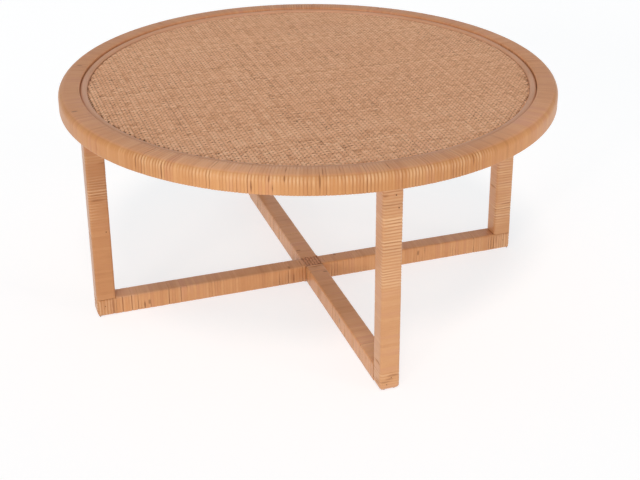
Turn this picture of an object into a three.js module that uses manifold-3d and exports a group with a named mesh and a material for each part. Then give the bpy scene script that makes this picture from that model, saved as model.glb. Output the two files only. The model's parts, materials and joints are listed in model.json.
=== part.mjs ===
// Round coffee table with a wooden frame wrapped in rattan peel and a woven top.
// Millimetres, +Z up. The origin is on the floor, under the middle of the top.

import * as THREE from "three";
import { mergeVertices } from "three/addons/utils/BufferGeometryUtils.js";
import Module from "manifold-3d";

const wasm = await Module();
wasm.setup();

// Whole table
const tableDiameter = 900;
const tableHeight = 420;

// Fits: the gap between pieces that touch, and how far a cutting tool runs past a face
const fitGap = 0.3;
const cutOverrun = 1;

// Rattan peel wrap: a ribbed skin, where one rib stands for about four turns of peel
const wrapThickness = 1.5;
const ribDepth = 0.7;
const ribPitch = 24;

// Tabletop ring
const ringTopWidth = 38;
const ringDepth = 34;
const ringUpperRound = 12;
const ringUpperSteps = 3;
const ringLowerRound = 3;
const ledgeReach = 5.5;
const ringFacetsPerQuarter = 16;
const tongueLength = 36;
const tongueThickness = 5;
const tongueMargin = 5;

// Tabletop filling: plywood panel, woven mat and half-round spline
const matRecess = 5;
const matThickness = 2;
const panelThickness = 9;
const splineWidth = 13;
const splineRise = 2.8;
const splineSeat = 3;
const splineArcSteps = 6;

// Legs
const legWidth = 33;
const legInset = 31.5;
const cornerRound = 3.5;
const tenonWidth = 16;
const upperTenonShare = 0.5;
const lowerTenonLength = 18;
const pegDiameter = 6;

// Rails on the floor
const railWidth = 32;
const railHeight = 32.5;
const footRound = 4;

// Screws and glides
const screwDiameter = 4;
const screwHeadDiameter = 8;
const screwHeadHeight = 3;
const screwTipLength = 4;
const legScrewBite = 34;
const panelScrewBiteShare = 0.6;
const lapScrewBiteShare = 0.7;
const glideDiameter = 22;
const glideThickness = 1.5;
const glideEdge = 0.4;
const glidePinDiameter = 4;
const glidePinLength = 9;
const smallFacets = 10;

// Levels above the floor
const railBottom = glideThickness + fitGap;
const railTop = railBottom + railHeight;
const coreInset = wrapThickness + fitGap;
const railCoreBottom = railBottom + coreInset;
const railCoreTop = railTop - coreInset;
const legBottom = railCoreTop + fitGap;
const ringBottom = tableHeight - ringDepth;
const ringCoreBottom = ringBottom + coreInset;
const matTop = tableHeight - matRecess;
const panelTop = matTop - matThickness - fitGap;
const panelBottom = panelTop - panelThickness;
const ledgeTop = panelBottom - fitGap;
const ledgeThickness = ledgeTop - ringCoreBottom;
const splineSeatLevel = panelTop - splineSeat;
const matRimTop = splineSeatLevel + fitGap + matThickness;

// Radii and spans from the middle of the table
const ringRadius = tableDiameter / 2;
const ringInnerRadius = ringRadius - ringTopWidth;
const legRadius = ringRadius - legInset - legWidth / 2;
const ledgeRadius = legRadius - legWidth / 2 - ledgeReach;
const splineOuterRadius = ringInnerRadius - fitGap;
const splineInnerRadius = splineOuterRadius - splineWidth;
const matFoldRadius = splineInnerRadius - fitGap;
const grooveRadius = matFoldRadius - matThickness - fitGap;
const panelRadius = ringInnerRadius + wrapThickness;
const panelScrewRadius = (ledgeRadius + grooveRadius) / 2;
const legCoreWidth = legWidth - 2 * coreInset;
const railCoreWidth = railWidth - 2 * coreInset;

// Counts and angles
const quarterTurn = Math.PI / 2;
const ringFacets = 4 * ringFacetsPerQuarter;
const facetAngle = (2 * Math.PI) / ringFacets;
const ribsPerFacet = Math.max(1, Math.round((ringRadius * facetAngle) / ribPitch));
const stationsPerFacet = 2 * ribsPerFacet;

// Materials
function surface(color, roughness, metalness = 0) {
  return new THREE.MeshStandardMaterial({ color, roughness, metalness });
}
const peel = surface(0xcf9a6b, 0.55);
const ringPeel = surface(0xc8916a, 0.5);
const weave = surface(0xc0906a, 0.7);
const rod = surface(0xb98a6c, 0.45);
const coreWood = surface(0xd9b98a, 0.75);
const plywood = surface(0xd2ab74, 0.7);
const hardwood = surface(0xb98a55, 0.6);
const steel = surface(0xb9b4a6, 0.4, 0.9);
const nylon = surface(0xe8e4da, 0.5);

// Booleans on closed meshes
function toSolid(geometry) {
  const bare = geometry.clone().deleteAttribute("normal").deleteAttribute("uv");
  const merged = mergeVertices(bare);
  return new wasm.Manifold(
    new wasm.Mesh({
      numProp: 3,
      vertProperties: merged.attributes.position.array,
      triVerts: new Uint32Array(merged.index.array),
    }),
  );
}

function toGeometry(solid) {
  const mesh = solid.getMesh();
  const geometry = new THREE.BufferGeometry();
  geometry.setAttribute("position", new THREE.BufferAttribute(mesh.vertProperties, 3));
  geometry.setIndex(new THREE.BufferAttribute(mesh.triVerts, 1));
  return geometry;
}

function cut(body, ...tools) {
  return toGeometry(tools.reduce((solid, tool) => solid.subtract(toSolid(tool)), toSolid(body)));
}

function join(body, ...others) {
  return toGeometry(others.reduce((solid, other) => solid.add(toSolid(other)), toSolid(body)));
}

function meet(body, other) {
  return toGeometry(toSolid(body).intersect(toSolid(other)));
}

// A box given by its lowest and highest corners
function boxBetween([x0, y0, z0], [x1, y1, z1]) {
  const box = new THREE.BoxGeometry(x1 - x0, y1 - y0, z1 - z0);
  return box.translate((x0 + x1) / 2, (y0 + y1) / 2, (z0 + z1) / 2);
}

// A profile of [radius, height] points turned about the Z axis
function turned(profile, facets) {
  const points = profile.map(([radius, height]) => new THREE.Vector2(radius, height));
  return new THREE.LatheGeometry(points, facets).rotateX(quarterTurn);
}

// A plain round bar along Z, from one height to another
function roundBar(diameter, from, to) {
  const bar = new THREE.CylinderGeometry(diameter / 2, diameter / 2, to - from, smallFacets);
  return bar.rotateX(quarterTurn).translate(0, 0, (from + to) / 2);
}

// The outline of a squared bar with cut corners, set back from its wrapped size by an inset
function barOutline(width, height, inset) {
  const x = width / 2;
  const y = height / 2;
  return [
    [x - inset, cornerRound - y],
    [x - inset, y - cornerRound],
    [x - cornerRound, y - inset],
    [cornerRound - x, y - inset],
    [inset - x, y - cornerRound],
    [inset - x, cornerRound - y],
    [cornerRound - x, inset - y],
    [x - cornerRound, inset - y],
  ];
}

// A squared bar with cut corners, standing along Z
function squaredBar(width, height, inset, from, to) {
  const outline = new THREE.Shape(
    barOutline(width, height, inset).map(([x, y]) => new THREE.Vector2(x, y)),
  );
  const bar = new THREE.ExtrudeGeometry(outline, { depth: to - from, bevelEnabled: false });
  return bar.translate(0, 0, from);
}

// Lays a bar that stands along Z down along X, with its outline's Y upright
function laidAlongX(geometry) {
  return geometry.rotateZ(quarterTurn).rotateY(quarterTurn);
}

// A mesh of its own vertices and triangles
function meshGeometry(vertices, triangles) {
  const geometry = new THREE.BufferGeometry();
  geometry.setAttribute("position", new THREE.Float32BufferAttribute(vertices.flat(), 3));
  geometry.setIndex(triangles.flat());
  return geometry;
}

// Two triangles for each gap between two rings of as many vertices, given by their first indices
function bandBetween(first, second, count) {
  const triangles = [];
  for (let i = 0; i < count; i += 1) {
    const next = (i + 1) % count;
    triangles.push([first + i, first + next, second + next], [first + i, second + next, second + i]);
  }
  return triangles;
}

// A sleeve of wound peel along Z: a bore that fits the core, and an outer face that rises and falls
// once a rib. The rings of the outer face, then the two ends of the bore, close on themselves.
function ribbedSleeve(width, height, from, to) {
  const ribs = Math.max(1, Math.round((to - from) / ribPitch));
  const steps = 2 * ribs;
  const rings = [];
  for (let step = 0; step <= steps; step += 1) {
    rings.push([from + ((to - from) * step) / steps, step % 2 === 0 ? ribDepth : 0]);
  }
  rings.push([to, wrapThickness], [from, wrapThickness]);
  const vertices = rings.flatMap(([level, inset]) =>
    barOutline(width, height, inset).map(([x, y]) => [x, y, level]),
  );
  const count = barOutline(width, height, 0).length;
  const triangles = rings.flatMap((ring, k) =>
    bandBetween(k * count, ((k + 1) % rings.length) * count, count),
  );
  return meshGeometry(vertices, triangles);
}

// The ring's wrapped outline as [radius, height], from the inner lip over the top, round the broad
// upper edge and down to the underside, set back from the crest of the ribs by an inset
function ringOutline(inset) {
  const upperEdge = Array.from({ length: ringUpperSteps + 1 }, (_, step) => {
    const angle = (quarterTurn * step) / ringUpperSteps;
    return [
      ringRadius - ringUpperRound + (ringUpperRound - inset) * Math.sin(angle),
      tableHeight - ringUpperRound + (ringUpperRound - inset) * Math.cos(angle),
    ];
  });
  return [
    [ringInnerRadius + inset, splineSeatLevel + fitGap],
    [ringInnerRadius + inset, tableHeight - inset],
    ...upperEdge,
    [ringRadius - inset, ringBottom + ringLowerRound],
    [ringRadius - ringLowerRound, ringBottom + inset],
    [ledgeRadius, ringBottom + inset],
  ];
}

// The ring's wrap: a ribbed skin over the core, open towards the panel. The outer face has a crest on
// every even station and a groove on every odd one; the inner face only has the core's own facets.
function ribbedRing() {
  const rows = ringOutline(0).length;
  const stations = ringFacets * stationsPerFacet;
  const around = (count, insetAt) =>
    Array.from({ length: count }, (_, i) => {
      const angle = (2 * Math.PI * i) / count;
      return ringOutline(insetAt(i)).map(([r, z]) => [r * Math.cos(angle), r * Math.sin(angle), z]);
    }).flat();
  const outer = around(stations, (i) => (i % 2 === 0 ? 0 : ribDepth));
  const inner = around(ringFacets, () => wrapThickness);
  const outerAt = (i, row) => (i % stations) * rows + row;
  const innerAt = (i, row) => outer.length + (i % ringFacets) * rows + row;
  const triangles = [];
  const skin = (at, i, row, outwards) => {
    const [a, b, c, d] = [at(i, row), at(i, row + 1), at(i + 1, row + 1), at(i + 1, row)];
    triangles.push(...(outwards ? [[a, b, c], [a, c, d]] : [[a, c, b], [a, d, c]]));
  };
  for (let row = 0; row < rows - 1; row += 1) {
    for (let i = 0; i < stations; i += 1) skin(outerAt, i, row, true);
    for (let i = 0; i < ringFacets; i += 1) skin(innerAt, i, row, false);
  }
  // Each lip fans the stations of one facet to the two corners of that facet on the inner face
  const lip = (facet, row, outwards) => {
    const start = facet * stationsPerFacet;
    const middle = start + ribsPerFacet;
    const faces = [[innerAt(facet, row), innerAt(facet + 1, row), outerAt(middle, row)]];
    for (let i = start; i < start + stationsPerFacet; i += 1) {
      const corner = i < middle ? facet : facet + 1;
      faces.push([outerAt(i, row), innerAt(corner, row), outerAt(i + 1, row)]);
    }
    triangles.push(...(outwards ? faces : faces.map(([a, b, c]) => [a, c, b])));
  };
  for (let facet = 0; facet < ringFacets; facet += 1) {
    lip(facet, 0, false);
    lip(facet, rows - 1, true);
  }
  return meshGeometry([...outer, ...inner], triangles);
}

// A closed profile of [radius, height] points carried through a quarter turn about Z, centred on +X,
// with its two flat ends
function quarterRing(profile) {
  const count = profile.length;
  const vertices = [];
  for (let i = 0; i <= ringFacetsPerQuarter; i += 1) {
    const angle = i * facetAngle - quarterTurn / 2;
    vertices.push(...profile.map(([r, z]) => [r * Math.cos(angle), r * Math.sin(angle), z]));
  }
  const triangles = [];
  for (let i = 0; i < ringFacetsPerQuarter; i += 1) {
    triangles.push(...bandBetween((i + 1) * count, i * count, count));
  }
  const flat = profile.map(([r, z]) => new THREE.Vector2(r, z));
  const last = ringFacetsPerQuarter * count;
  for (const [a, b, c] of THREE.ShapeUtils.triangulateShape(flat, [])) {
    triangles.push([a, b, c], [last + a, last + c, last + b]);
  }
  return meshGeometry(vertices, triangles);
}

// A countersunk screw pointing down, with its head's flat top at height zero
function screw(length) {
  return turned(
    [
      [0, -length],
      [screwDiameter / 2, screwTipLength - length],
      [screwDiameter / 2, -screwHeadHeight],
      [screwHeadDiameter / 2, 0],
      [0, 0],
    ],
    smallFacets,
  );
}

// The hole that such a screw sits in, a gap wider and deeper, and open above its head
function screwHole(length) {
  return turned(
    [
      [0, -length - fitGap],
      [screwDiameter / 2 + fitGap, -length - fitGap],
      [screwDiameter / 2 + fitGap, -screwHeadHeight],
      [screwHeadDiameter / 2 + fitGap, 0],
      [screwHeadDiameter / 2 + fitGap, cutOverrun],
      [0, cutOverrun],
    ],
    smallFacets,
  );
}

// Sizes of the fastenings, from what they go through
const upperTenonLength = ledgeThickness * upperTenonShare;
const legScrewLength = ledgeThickness + legScrewBite;
const panelScrewLength = panelThickness + ledgeThickness * panelScrewBiteShare;
const railCoreHeight = railHeight - 2 * coreInset;
const lapScrewLength = (railCoreHeight / 2) * (1 + lapScrewBiteShare);
const pegLevel = railCoreTop - lowerTenonLength / 2;
const panelScrewAngles = [-quarterTurn / 4, quarterTurn / 4];

// Ring core: a quarter ring of solid wood with the panel's ledge, cut for the leg and the fastenings
function ringCore() {
  const wall = ringInnerRadius + coreInset;
  const outer = ringOutline(coreInset).slice(2, -1);
  const blank = quarterRing([
    [ledgeRadius, ringCoreBottom],
    [ledgeRadius, ledgeTop],
    [wall, ledgeTop],
    [wall, tableHeight - coreInset],
    ...outer,
  ].reverse());
  const mortiseHalf = tenonWidth / 2 + fitGap;
  const mortise = boxBetween(
    [legRadius - mortiseHalf, -mortiseHalf, ringCoreBottom - cutOverrun],
    [legRadius + mortiseHalf, mortiseHalf, ringCoreBottom + upperTenonLength],
  );
  const legScrewHole = screwHole(legScrewLength).translate(legRadius, 0, ledgeTop);
  const panelScrewHoles = panelScrewAngles.map((angle) =>
    screwHole(panelScrewLength)
      .translate(panelScrewRadius, 0, panelTop)
      .rotateZ(angle),
  );
  const ends = [-quarterTurn / 2, quarterTurn / 2].flatMap((angle) => [
    boxBetween([0, -fitGap / 2, 0], [ringRadius, fitGap / 2, tableHeight]).rotateZ(angle),
    tongueBlock(fitGap).rotateZ(angle),
  ]);
  return cut(blank, mortise, legScrewHole, ...panelScrewHoles, ...ends);
}

// Loose tongue across the joint of two quarter rings, on the X axis, larger all round by a gap
function tongueBlock(gap) {
  const inner = ringInnerRadius + coreInset + tongueMargin;
  const outer = ringRadius - coreInset - tongueMargin;
  const level = (ringCoreBottom + ledgeTop) / 2;
  return boxBetween(
    [inner - gap, -tongueLength / 2 - gap, level - tongueThickness / 2 - gap],
    [outer + gap, tongueLength / 2 + gap, level + tongueThickness / 2 + gap],
  );
}

// Leg core: a squared bar with a stub tenon up into the ledge and one down into the rail
function legCore() {
  const head = ringCoreBottom - fitGap;
  const half = tenonWidth / 2;
  const body = squaredBar(legWidth, legWidth, coreInset, legBottom, head);
  const upperTenon = boxBetween(
    [-half, -half, head - cutOverrun],
    [half, half, ringCoreBottom + upperTenonLength - fitGap],
  );
  const lowerTenon = boxBetween(
    [-half, -half, railCoreTop - lowerTenonLength],
    [half, half, legBottom + cutOverrun],
  );
  const pegHole = roundBar(pegDiameter + 2 * fitGap, -tenonWidth, tenonWidth)
    .rotateX(quarterTurn)
    .translate(0, 0, pegLevel);
  return cut(
    join(body, upperTenon, lowerTenon),
    screwHole(legScrewLength).translate(0, 0, ledgeTop),
    pegHole,
  );
}

// The wrap's underside leaves a square round the head of each leg core
function ringWrap() {
  const half = legCoreWidth / 2 + fitGap;
  const notches = sides.map(({ angle }) =>
    boxBetween(
      [legRadius - half, -half, ringBottom - cutOverrun],
      [legRadius + half, half, ringCoreBottom],
    ).rotateZ(angle),
  );
  return cut(ribbedRing(), ...notches);
}

// A rail along X with the corners of its ends cut like the legs above them, set back from its
// wrapped size by an inset, up to a height
function railBlank(inset, top) {
  const height = top + inset - railBottom;
  const bar = laidAlongX(squaredBar(railWidth, height, inset, -ringRadius, ringRadius));
  const plan = squaredBar(2 * legRadius + legWidth, legWidth, inset, -height, height);
  return meet(bar, plan).translate(0, 0, railBottom + height / 2);
}

// Rail core along X: a mortise for each leg, room for its peg and glide pin, bevelled toes, and half
// its height cut away where the rails cross
function railCore(lapIsOnTop) {
  const middle = (railCoreBottom + railCoreTop) / 2;
  const lapHalf = railCoreWidth / 2 + fitGap;
  const mortiseHalf = tenonWidth / 2 + fitGap;
  const lapLevels = lapIsOnTop
    ? [middle - fitGap / 2, railCoreTop + cutOverrun]
    : [railCoreBottom - cutOverrun, middle + fitGap / 2];
  const lap = boxBetween([-lapHalf, -railWidth, lapLevels[0]], [lapHalf, railWidth, lapLevels[1]]);
  const ends = [-1, 1].flatMap((side) => {
    const mortise = boxBetween(
      [side * legRadius - mortiseHalf, -mortiseHalf, railCoreTop - lowerTenonLength - fitGap],
      [side * legRadius + mortiseHalf, mortiseHalf, railCoreTop + cutOverrun],
    );
    const pegHole = roundBar(pegDiameter + 2 * fitGap, -railWidth, railWidth)
      .rotateX(quarterTurn)
      .translate(side * legRadius, 0, pegLevel);
    const pinHole = roundBar(
      glidePinDiameter + 2 * fitGap,
      0,
      glideThickness + glidePinLength + fitGap,
    ).translate(side * legRadius, 0, 0);
    return [mortise, pegHole, pinHole, toeBevel(coreInset, side)];
  });
  const screwSeat = screwHole(lapScrewLength).rotateX(2 * quarterTurn).translate(0, 0, railCoreBottom);
  return cut(railBlank(coreInset, railCoreTop), lap, screwSeat, ...ends);
}

// The wedge that bevels the lower edge of a rail's end, for a foot set back by an inset
function toeBevel(inset, side) {
  const face = legRadius + legWidth / 2 - inset;
  const floor = railBottom + inset;
  const bevel = footRound - inset;
  const wedge = new THREE.Shape([
    new THREE.Vector2(face - bevel - cutOverrun, floor - cutOverrun),
    new THREE.Vector2(face + cutOverrun, floor - cutOverrun),
    new THREE.Vector2(face + cutOverrun, floor + bevel + cutOverrun),
  ]);
  const block = new THREE.ExtrudeGeometry(wedge, { depth: 2 * legWidth, bevelEnabled: false });
  const upright = block.rotateX(quarterTurn).translate(0, legWidth, 0);
  return side > 0 ? upright : upright.rotateZ(2 * quarterTurn);
}

// Foot wrap: peel folded over the end of the rail, flush with the leg above it, open at the top and
// towards the rail
function footWrap() {
  const outer = squaredBar(legWidth, legWidth, 0, railBottom, railCoreTop).translate(legRadius, 0, 0);
  const cavity = cut(railBlank(wrapThickness, railTop + legWidth), toeBevel(wrapThickness, 1));
  const pinHole = roundBar(glidePinDiameter + 2 * fitGap, 0, railTop).translate(legRadius, 0, 0);
  const edges = [-1, 1].map((side) =>
    new THREE.BoxGeometry(2 * legWidth, footRound, footRound)
      .rotateX(quarterTurn / 2)
      .translate(legRadius, (side * legWidth) / 2, railBottom),
  );
  return cut(outer, cavity, toeBevel(0, 1), pinHole, ...edges);
}

// Foot glide: a thin pad on the floor with a pin up into the rail
function footGlide() {
  return turned(
    [
      [0, 0],
      [glideDiameter / 2 - glideEdge, 0],
      [glideDiameter / 2, glideEdge],
      [glideDiameter / 2, glideThickness],
      [glidePinDiameter / 2, glideThickness],
      [glidePinDiameter / 2, glideThickness + glidePinLength],
      [0, glideThickness + glidePinLength],
    ],
    smallFacets,
  );
}

// Top panel: a plywood disc with a step round its rim for the mat's edge and the spline
function topPanel() {
  const disc = turned(
    [
      [0, panelBottom],
      [panelRadius, panelBottom],
      [panelRadius, splineSeatLevel],
      [grooveRadius, splineSeatLevel],
      [grooveRadius, panelTop],
      [0, panelTop],
    ],
    ringFacets,
  );
  const holes = sides.flatMap(({ angle }) =>
    panelScrewAngles.map((step) =>
      screwHole(panelScrewLength)
        .translate(panelScrewRadius, 0, panelTop)
        .rotateZ(angle + step),
    ),
  );
  return cut(disc, ...holes);
}

// Woven mat: a flat sheet whose rim folds down into the step under the spline
function wovenMat() {
  const rimBottom = matRimTop - matThickness;
  return turned(
    [
      [0, matTop - matThickness],
      [matFoldRadius - matThickness, matTop - matThickness],
      [matFoldRadius - matThickness, rimBottom],
      [splineOuterRadius, rimBottom],
      [splineOuterRadius, matRimTop],
      [matFoldRadius, matRimTop],
      [matFoldRadius, matTop - matThickness / 2],
      [matFoldRadius - matThickness / 2, matTop],
      [0, matTop],
    ],
    ringFacets,
  );
}

// Mat spline: a rattan rod with a flat underside and a rounded top
function matSpline() {
  const middle = (splineInnerRadius + splineOuterRadius) / 2;
  const seat = matRimTop + fitGap;
  const rise = matTop + splineRise - seat;
  const arc = Array.from({ length: splineArcSteps + 1 }, (_, i) => {
    const angle = (Math.PI * i) / splineArcSteps;
    return [middle + (splineWidth / 2) * Math.cos(angle), seat + rise * Math.sin(angle)];
  });
  return turned([...arc, arc[0]], ringFacets);
}

// Crossing weave: a patch of interlaced peel over the half lap
function crossingWeave(bottom) {
  const half = railWidth / 2;
  return boxBetween([-half, -half, bottom], [half, half, bottom + wrapThickness]);
}

// The four sides of the table, by the way their leg lies from the middle
const sides = [
  { name: "front", angle: -quarterTurn },
  { name: "right", angle: 0 },
  { name: "back", angle: quarterTurn },
  { name: "left", angle: 2 * quarterTurn },
];

function piece(name, geometry, material) {
  const mesh = new THREE.Mesh(geometry, material);
  mesh.name = name;
  return mesh;
}

function placed(mesh, x, y, z) {
  mesh.position.set(x, y, z);
  return mesh;
}

// Everything that repeats on each side, built with its leg on the +X axis
function sideAssembly(name) {
  const group = new THREE.Group();
  const legTop = ringBottom - fitGap;
  const railStart = railWidth / 2 + fitGap;
  const railEnd = legRadius - legWidth / 2 - fitGap;
  const peg = roundBar(pegDiameter, -railCoreWidth / 2, railCoreWidth / 2).rotateX(quarterTurn);
  const legSleeve = ribbedSleeve(legWidth, legWidth, legBottom, legTop);
  const railSleeve = laidAlongX(ribbedSleeve(railWidth, railHeight, railStart, railEnd));
  group.add(
    piece(`ring_core_${name}`, ringCore(), coreWood),
    piece(`ring_tongue_${name}`, tongueBlock(0).rotateZ(quarterTurn / 2), hardwood),
    placed(piece(`leg_core_${name}`, legCore(), coreWood), legRadius, 0, 0),
    placed(piece(`leg_wrap_${name}`, legSleeve, peel), legRadius, 0, 0),
    placed(piece(`leg_screw_${name}`, screw(legScrewLength), steel), legRadius, 0, ledgeTop),
    placed(piece(`leg_peg_${name}`, peg, hardwood), legRadius, 0, pegLevel),
    placed(piece(`rail_wrap_${name}`, railSleeve, peel), 0, 0, (railBottom + railTop) / 2),
    piece(`foot_wrap_${name}`, footWrap(), peel),
    placed(piece(`foot_glide_${name}`, footGlide(), nylon), legRadius, 0, 0),
  );
  panelScrewAngles.forEach((angle, i) => {
    const fixing = piece(`panel_screw_${name}_${i + 1}`, screw(panelScrewLength), steel);
    const [x, y] = [panelScrewRadius * Math.cos(angle), panelScrewRadius * Math.sin(angle)];
    placed(fixing, x, y, panelTop);
    fixing.rotation.z = angle;
    group.add(fixing);
  });
  return group;
}

// Assembly
const table = new THREE.Group();
for (const { name, angle } of sides) {
  const side = sideAssembly(name);
  side.rotation.z = angle;
  table.add(side);
}

const lapScrew = piece("crossing_screw", screw(lapScrewLength), steel);
lapScrew.rotation.x = 2 * quarterTurn;
const crossRail = piece("rail_core_front_back", railCore(false), coreWood);
crossRail.rotation.z = quarterTurn;
table.add(
  piece("ring_wrap", ringWrap(), ringPeel),
  piece("top_panel", topPanel(), plywood),
  piece("woven_mat", wovenMat(), weave),
  piece("mat_spline", matSpline(), rod),
  piece("rail_core_left_right", railCore(true), coreWood),
  crossRail,
  placed(lapScrew, 0, 0, railCoreBottom),
  piece("crossing_weave_top", crossingWeave(railTop - wrapThickness), peel),
  piece("crossing_weave_bottom", crossingWeave(railBottom), peel),
);

export default table;
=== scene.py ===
"""Looks of a low round table wrapped in rattan peel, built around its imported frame.

Lengths are metres, +Z is up and the floor is at height zero. The middle of the table is on the Z
axis, and its front leg stands on -Y.
"""

from __future__ import annotations

import json
import logging
import math
from dataclasses import dataclass, replace
from enum import Enum
from functools import partialmethod
from typing import Any, Callable, Sequence

import bpy
import numpy as np
from mathutils import Matrix, Vector

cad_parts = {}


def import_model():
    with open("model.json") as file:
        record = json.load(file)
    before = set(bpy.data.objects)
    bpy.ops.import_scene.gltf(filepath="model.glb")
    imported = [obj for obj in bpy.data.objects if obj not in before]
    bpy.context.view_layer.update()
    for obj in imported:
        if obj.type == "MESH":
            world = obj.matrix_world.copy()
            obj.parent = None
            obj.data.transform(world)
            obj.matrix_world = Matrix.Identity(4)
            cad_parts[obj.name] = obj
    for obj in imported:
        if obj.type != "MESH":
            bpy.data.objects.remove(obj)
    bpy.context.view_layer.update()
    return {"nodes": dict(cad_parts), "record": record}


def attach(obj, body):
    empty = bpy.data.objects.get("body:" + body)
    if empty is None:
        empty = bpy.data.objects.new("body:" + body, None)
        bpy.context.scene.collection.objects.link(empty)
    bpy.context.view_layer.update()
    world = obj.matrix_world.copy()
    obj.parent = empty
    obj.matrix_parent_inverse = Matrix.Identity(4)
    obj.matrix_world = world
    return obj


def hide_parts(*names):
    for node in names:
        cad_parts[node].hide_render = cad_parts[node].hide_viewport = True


Array = np.ndarray
Random = np.random.Generator
Material = bpy.types.Material
Field = Callable[[Array, Array], Array]
Place = Callable[[Array, Array, Array], Array]
Triple = tuple[float, float, float]

LOG = logging.getLogger("table")
PEEL_MAP = "peel"
HOLLOW = "hollow"
FULL_TURN = 2 * math.pi


# Shapes as arrays


class Side(Enum):
    """The four sides of the table, by the quarter turns about Z that bring the +X side there."""

    FRONT = -1
    RIGHT = 0
    BACK = 1
    LEFT = 2

    @property
    def label(self) -> str:
        """The side's name as the frame's nodes spell it."""
        return self.name.lower()


def apart(place: Array, other: Array | float, whole: float) -> Array:
    """The shorter way between two places on a line that closes on itself after whole."""
    return np.abs((place - other + whole / 2) % whole - whole / 2)


def soft_field(rng: Random, rows: int, columns: int, row_waves: int, column_waves: int) -> Array:
    """Smooth random values that repeat in both directions.

    Formula: the sum of sixteen cosine waves with whole numbers of periods over the rows and over
    the columns, random phases and weights, divided by twice their spread.

    Args:
        rng: source of random numbers.
        rows: number of rows.
        columns: number of columns.
        row_waves: most periods over the rows.
        column_waves: most periods over the columns.

    Returns:
        rows by columns of values, mostly within -1 and 1.
    """
    waves = 16
    over_rows = rng.integers(-row_waves, row_waves + 1, waves)
    over_columns = rng.integers(0, column_waves + 1, waves)
    phases = rng.uniform(0, FULL_TURN, waves)
    weights = rng.uniform(0.4, 1.0, waves)
    i = np.arange(rows)[:, None, None] / rows
    j = np.arange(columns)[None, :, None] / columns
    total = (weights * np.cos(FULL_TURN * (i * over_rows + j * over_columns) + phases)).sum(-1)
    return np.clip(total / (2 * math.sqrt((weights**2).sum() / 2)), -1, 1)


@dataclass
class Surface:
    """A mesh in arrays.

    At each corner of a face, peel holds the metres along the strip, and the strip's number plus
    the share across it. At each point, hollow is 1 or more in a groove, 0 on a flat strip, and
    below 0 where a strip's crown stands out; the finish paints shade where it is above 0 and a
    highlight where it is below 0.
    """

    points: Array
    faces: Array
    peel: Array
    hollow: Array

    @classmethod
    def closed_grid(cls, points: Array, along: Array, across: Array, hollow: Array) -> Surface:
        """Joins a grid of points to itself in both directions.

        Args:
            points: rows by columns by 3.
            along: metres along the strip for each column, and for the first one again.
            across: strip number plus share across for each row, and for the first one again.
            hollow: rows by columns.

        Returns:
            The closed surface, facing along column direction cross row direction.
        """
        rows, columns = points.shape[:2]
        r, c = np.indices((rows, columns))
        down, right = (r + 1) % rows, (c + 1) % columns
        corners = [(r, c), (r, right), (down, right), (down, c)]
        faces = np.stack([i * columns + j for i, j in corners], -1).reshape(-1, 4)
        spots = [(r, c), (r, c + 1), (r + 1, c + 1), (r + 1, c)]
        peel = np.stack([np.stack([along[j], across[i]], -1) for i, j in spots], -2)
        return cls(points.reshape(-1, 3), faces, peel.reshape(-1, 4, 2), hollow.reshape(-1))

    @classmethod
    def joined(cls, parts: Sequence[Surface]) -> Surface:
        """Puts several surfaces into one mesh, without merging their points.

        Args:
            parts: the surfaces.

        Returns:
            One surface, with their points and faces in this order.
        """
        starts = np.cumsum([0] + [len(part.points) for part in parts[:-1]])
        return cls(
            np.concatenate([part.points for part in parts]),
            np.concatenate([part.faces + start for part, start in zip(parts, starts)]),
            np.concatenate([part.peel for part in parts]),
            np.concatenate([part.hollow for part in parts]),
        )

    def moved(self, *by: float) -> Surface:
        """The same surface, moved along x, y and z."""
        return replace(self, points=self.points + np.array(by))

    def turned(self, quarters: int) -> Surface:
        """The same surface, turned about Z by quarter turns."""
        c, s = ((1, 0), (0, 1), (-1, 0), (0, -1))[quarters % 4]
        return replace(self, points=self.points @ np.array([[c, s, 0], [-s, c, 0], [0, 0, 1]]))

    def piece(self, name: str, material: Material, sharp: float = 60.0) -> bpy.types.Object:
        """Makes the Blender object.

        Args:
            name: the object's name.
            material: its finish.
            sharp: edges with a steeper fold than this many degrees are shaded sharp.

        Returns:
            The new object at the origin.
        """
        mesh = bpy.data.meshes.new(name)
        mesh.vertices.add(len(self.points))
        mesh.vertices.foreach_set("co", self.points.astype(np.float32).ravel())
        mesh.loops.add(self.faces.size)
        mesh.loops.foreach_set("vertex_index", self.faces.astype(np.int32).ravel())
        mesh.polygons.add(len(self.faces))
        mesh.polygons.foreach_set("loop_start", np.arange(0, self.faces.size, 4, dtype=np.int32))
        mesh.update(calc_edges=True)
        mesh.uv_layers.new(name=PEEL_MAP).data.foreach_set("uv", self.peel.astype(np.float32).ravel())
        hollow = mesh.attributes.new(HOLLOW, "FLOAT", "POINT")
        hollow.data.foreach_set("value", self.hollow.astype(np.float32))
        mesh.polygons.foreach_set("use_smooth", np.ones(len(self.faces), bool))
        mesh.set_sharp_from_angle(angle=math.radians(sharp))
        mesh.materials.append(material)
        return placed(name, mesh)


def placed(name: str, data: bpy.types.ID) -> bpy.types.Object:
    """Makes an object of a mesh, light or camera, and puts it in the scene.

    Args:
        name: the object's name.
        data: what it shows.

    Returns:
        The new object.
    """
    made = bpy.data.objects.new(name, data)
    bpy.context.scene.collection.objects.link(made)
    return made


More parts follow.
